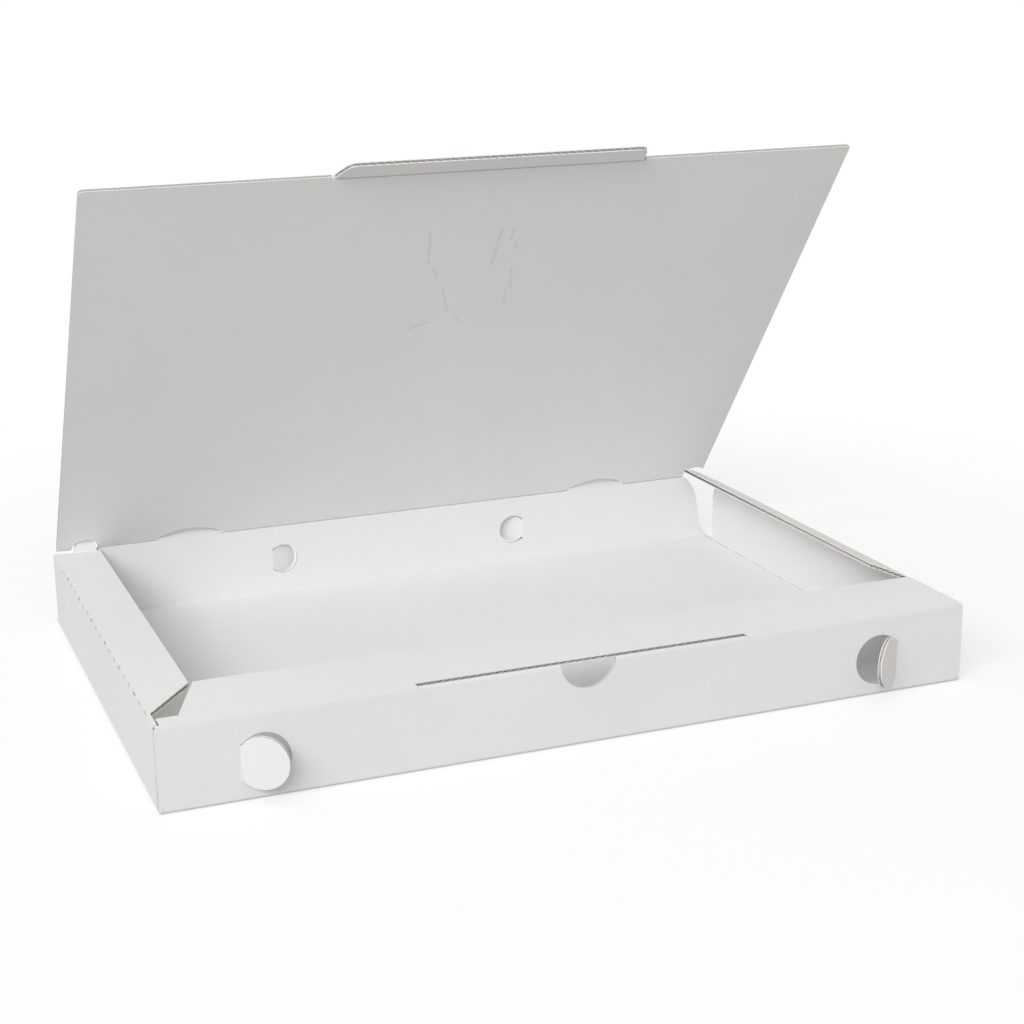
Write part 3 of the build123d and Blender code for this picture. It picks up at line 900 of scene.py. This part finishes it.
def liner_material(name, board, scuffs=(), tone=1.0):
    """White coated liner: cloudy paper with specks and the flutes' ghost, painted shade along the tray's floor
    creases and top folds, and scuffs where they are given. The tone greys it as a whole, for the copies that
    carry painted shade."""
    material, n, shader = new_material(name)
    place = n.add("ShaderNodeTexCoord")
    chart = n.add("ShaderNodeUVMap", uv_map="board")
    paper = n.add("ShaderNodeGroup", node_tree=group("paper", paper_group))
    n.link(place.outputs["Object"], paper.inputs["Vector"])
    ghost = n.add("ShaderNodeGroup", node_tree=group("ghost", ghost_group))
    n.link(chart.outputs["UV"], ghost.inputs["Board"])
    ghost.inputs["Pitch"].default_value = board.pitch
    ridge = n.math("MULTIPLY", ghost.outputs["Ridge"], ghost.outputs["Depth"])
    cloud = n.math("MULTIPLY", paper.outputs["Cloud"], 0.30)
    shade = n.math("ADD", cloud, n.math("MULTIPLY", ridge, 0.05))
    shade = n.math("ADD", shade, n.math("MULTIPLY", paper.outputs["Speck"], 0.12), clamp=True)
    white, grey = (tuple(c * tone for c in tint) for tint in (board.white, board.shade))
    colour = n.mix(shade, white, grey)
    crease = n.add("ShaderNodeGroup", node_tree=group("crease", crease_shade_group))
    n.link(place.outputs["Object"], crease.inputs["Vector"])
    # Painted shade in the floor creases and on the top folds, in the scuff colour
    colour = n.mix(n.math("MULTIPLY", crease.outputs["Line"], 0.5), colour, tuple(board.scuff))
    colour = n.mix(n.math("MULTIPLY", crease.outputs["Fold"], 0.32), colour, tuple(board.scuff))
    for start, end, width in scuffs:
        stroke = n.add("ShaderNodeGroup", node_tree=group("stroke", stroke_group))
        n.link(chart.outputs["UV"], stroke.inputs["Board"])
        stroke.inputs["Start"].default_value = (*start, 0)
        stroke.inputs["End"].default_value = (*end, 0)
        stroke.inputs["Width"].default_value = width
        colour = n.mix(n.math("MULTIPLY", stroke.outputs["Mask"], 0.3), colour, tuple(board.scuff))
    n.link(colour, shader.inputs["Base Color"])
    n.link(n.math("MULTIPLY_ADD", paper.outputs["Height"], 0.22, 0.62), shader.inputs["Roughness"])
    shader.inputs["Specular IOR Level"].default_value = 0.2
    fibre = n.math("MULTIPLY", paper.outputs["Height"], 0.18)
    n.bump(n.math("ADD", n.math("MULTIPLY", ridge, 0.4), fibre), 0.28, 0.00022, shader)
    return material


def flute_material(board):
    """Grey-brown recycled paper of the flutes, with a fibrous tone."""
    material, n, shader = new_material("Fluted paper")
    place = n.add("ShaderNodeTexCoord")
    paper = n.add("ShaderNodeGroup", node_tree=group("paper", paper_group))
    n.link(place.outputs["Object"], paper.inputs["Vector"])
    dark = tuple(c * 0.74 for c in board.grey)
    n.link(n.mix(paper.outputs["Height"], tuple(board.grey), dark), shader.inputs["Base Color"])
    shader.inputs["Roughness"].default_value = 0.85
    shader.inputs["Specular IOR Level"].default_value = 0.2
    n.bump(paper.outputs["Height"], 0.3, 0.0001, shader)
    return material


def board_props():
    """The board's sizes and colours."""
    return bpy.context.scene.pizza_box_board


def liner_of(node):
    """Liner material of a panel: the lid's has scuffs inside."""
    name = "Scuffed liner" if node == "lid" else "White liner"
    found = bpy.data.materials.get(name)
    return found or liner_material(name, board_props(), SCUFFS if node == "lid" else ())


def shaded_liner(name, tone):
    """Liner that is greyer than the rest by the given share: a copy that carries painted shade."""
    return bpy.data.materials.get(name) or liner_material(name, board_props(), tone=tone)


def flute_paper():
    """Material of the flutes."""
    return bpy.data.materials.get("Fluted paper") or flute_material(board_props())


class PIZZABOX_OT_tray(Operator):
    """Build the tray's liners and flutes"""

    bl_idname = "pizzabox.tray"
    bl_label = "Tray"

    def execute(self, context):
        board = board_props()
        liner_piece("tray", liner_of("tray"), board)
        flute_piece("tray", tray_flutes(board), flute_paper(), board)
        return {"FINISHED"}


class PIZZABOX_OT_lid(Operator):
    """Build the lid's liners and flutes, and those of its tuck flap"""

    bl_idname = "pizzabox.lid"
    bl_label = "Lid and tuck flap"

    def execute(self, context):
        board = board_props()
        for node, grids in (("lid", lid_flutes(board)), ("tuck_flap", tuck_flutes(board))):
            liner_piece(node, liner_of(node), board)
            flute_piece(node, grids, flute_paper(), board)
        return {"FINISHED"}


class PIZZABOX_OT_ledge(Operator):
    """Build the right ledge's liners and flutes"""

    bl_idname = "pizzabox.ledge"
    bl_label = "Right ledge"

    def execute(self, context):
        board = board_props()
        liner_piece("right_ledge", liner_of("right_ledge"), board)
        flute_piece("right_ledge", ledge_flutes(board), flute_paper(), board)
        return {"FINISHED"}


class PIZZABOX_OT_vents(Operator):
    """Build the liners and flutes of the vent discs"""

    bl_idname = "pizzabox.vents"
    bl_label = "Vents"

    def execute(self, context):
        board = board_props()
        for node in VENTS:
            liner_piece(node, liner_of(node), board)
            flute_piece(node, vent_flutes(node, board), flute_paper(), board)
            for face in (1, -1):
                crease_skin(node, face, liner_of(node))
        vent_corners(liner_of("tray"))
        return {"FINISHED"}


def floor_material():
    """Pale floor that keeps the box's shadow and is plain white to the camera from a little way off."""
    material, n, shader = new_material("Studio floor")
    shader.inputs["Base Color"].default_value = (STAGE_GREY, STAGE_GREY, STAGE_GREY, 1)
    shader.inputs["Roughness"].default_value = 0.9
    shader.inputs["Specular IOR Level"].default_value = 0.0
    path = n.add("ShaderNodeLightPath")
    seen = n.math("ADD", path.outputs["Is Camera Ray"], path.outputs["Is Glossy Ray"], clamp=True)
    glow = n.add("ShaderNodeEmission")
    n.link(n.math("MULTIPLY", seen, STAGE_GLOW), glow.inputs["Strength"])
    near = n.add("ShaderNodeAddShader")
    n.link(shader.outputs[0], near.inputs[0])
    n.link(glow.outputs[0], near.inputs[1])
    place = n.add("ShaderNodeTexCoord")
    away = n.add("ShaderNodeVectorMath", operation="LENGTH")
    n.link(place.outputs["Object"], away.inputs[0])
    white = n.add("ShaderNodeEmission")
    whole = n.add("ShaderNodeMixShader")
    n.link(n.math("MULTIPLY", seen, n.ramp(away.outputs["Value"], *STAGE_FADE)), whole.inputs["Fac"])
    n.link(near.outputs[0], whole.inputs[1])
    n.link(white.outputs[0], whole.inputs[2])
    n.link(whole.outputs[0], material.node_tree.nodes["Material Output"].inputs["Surface"])
    return material


class PIZZABOX_OT_studio(Operator):
    """Set the floor, the light and the camera"""

    bl_idname = "pizzabox.studio"
    bl_label = "Studio"

    def execute(self, context):
        scene = context.scene
        studio = scene.pizza_box_studio
        side = np.linspace(-STAGE_HALF, STAGE_HALF, 13)
        x, y = np.meshgrid(side, side)
        points = np.stack((x, y, np.full_like(x, STAGE_LEVEL)), -1).reshape(-1, 3)
        n = len(side)
        i = (np.arange(n - 1)[:, None] * n + np.arange(n - 1)).ravel()
        floor = new_mesh("studio_floor", points, np.stack((i, i + 1, i + 1 + n, i + n), 1).tolist())
        floor.data.materials.append(floor_material())
        lamp = bpy.data.lights.new("softbox", "AREA")
        lamp.shape = "RECTANGLE"
        lamp.size, lamp.size_y = studio.softbox_size
        lamp.energy = studio.softbox
        lamp.color = studio.softbox_tint
        box = bpy.data.objects.new("softbox", lamp)
        place = Vector(studio.softbox_place)
        box.matrix_world = Matrix.LocRotScale(place, place.to_track_quat("Z", "Y"), None)
        scene.collection.objects.link(box)
        world = bpy.data.worlds.new("studio")
        scene.world = world
        world.use_nodes = True
        w = Nodes(world.node_tree)
        back = world.node_tree.nodes["Background"]
        path = w.add("ShaderNodeLightPath")
        seen = w.math("ADD", path.outputs["Is Camera Ray"], path.outputs["Is Glossy Ray"], clamp=True)
        seen = w.math("ADD", seen, path.outputs["Is Transmission Ray"], clamp=True)
        w.link(w.mix(seen, tuple(studio.sky_tint), (1, 1, 1)), back.inputs["Color"])
        w.link(w.ramp(seen, 0.0, 1.0, studio.sky, 1.0), back.inputs["Strength"])
        lens = bpy.data.cameras.new("camera")
        lens.sensor_width = 36.0
        lens.lens = studio.lens
        lens.shift_x, lens.shift_y = studio.shift
        lens.clip_start = 0.01
        camera = bpy.data.objects.new("camera", lens)
        camera.matrix_world = Matrix.LocRotScale(studio.eye, Euler(studio.turn), None)
        scene.collection.objects.link(camera)
        scene.camera = camera
        scene.view_settings.view_transform = "Standard"
        return {"FINISHED"}


class PIZZABOX_PT_panel(Panel):
    """Sizes, colours and steps of the pizza box"""

    bl_idname = "PIZZABOX_PT_panel"
    bl_label = "Pizza box"
    bl_space_type = "VIEW_3D"
    bl_region_type = "UI"
    bl_category = "Pizza box"

    def draw(self, context):
        for group_of_values in (context.scene.pizza_box_board, context.scene.pizza_box_studio):
            column = self.layout.column()
            for key in group_of_values.__annotations__:
                column.prop(group_of_values, key)
        for step in STEPS:
            self.layout.operator(step.bl_idname)


STEPS = (PIZZABOX_OT_tray, PIZZABOX_OT_lid, PIZZABOX_OT_ledge, PIZZABOX_OT_vents, PIZZABOX_OT_studio)
CLASSES = (PizzaBoxBoard, PizzaBoxStudio, *STEPS, PIZZABOX_PT_panel)


def register():
    """Make the values, steps and panel known to Blender."""
    for each in CLASSES:
        bpy.utils.register_class(each)
    bpy.types.Scene.pizza_box_board = PointerProperty(type=PizzaBoxBoard)
    bpy.types.Scene.pizza_box_studio = PointerProperty(type=PizzaBoxStudio)


def unregister():
    """Take them away again."""
    del bpy.types.Scene.pizza_box_studio
    del bpy.types.Scene.pizza_box_board
    for each in reversed(CLASSES):
        bpy.utils.unregister_class(each)


def main():
    """Build the box and the studio."""
    register()
    bpy.ops.pizzabox.tray()
    bpy.ops.pizzabox.lid()
    bpy.ops.pizzabox.ledge()
    bpy.ops.pizzabox.vents()
    bpy.ops.pizzabox.studio()
    bpy.context.view_layer.update()


if __name__ == "__main__":
    main()
